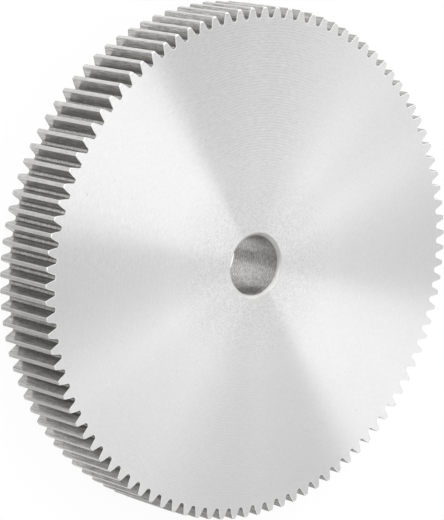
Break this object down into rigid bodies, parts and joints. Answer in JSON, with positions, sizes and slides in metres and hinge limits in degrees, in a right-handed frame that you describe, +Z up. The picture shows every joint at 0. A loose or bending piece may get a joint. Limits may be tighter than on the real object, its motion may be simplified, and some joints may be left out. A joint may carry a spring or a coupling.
{
  "type": "spur gear",
  "caption": "Steel spur gear, a flat disc with straight involute teeth round its rim and a plain chamfered bore with no hub or keyway.",
  "frame": {"origin": "centre of the bore at the lower side, which the gear lies on", "axes": "+Z up along the bore axis, +X through the middle of a tooth space"},
  "size_m": [0.102, 0.102, 0.015],
  "materials": {
    "steel": "bright machined steel: fine turned rings on the sides, hobbed tooth flanks, turned tooth tips and a bored hole"
  },
  "bodies": {
    "root": {"spur_gear": "steel"}
  },
  "joints": []
}
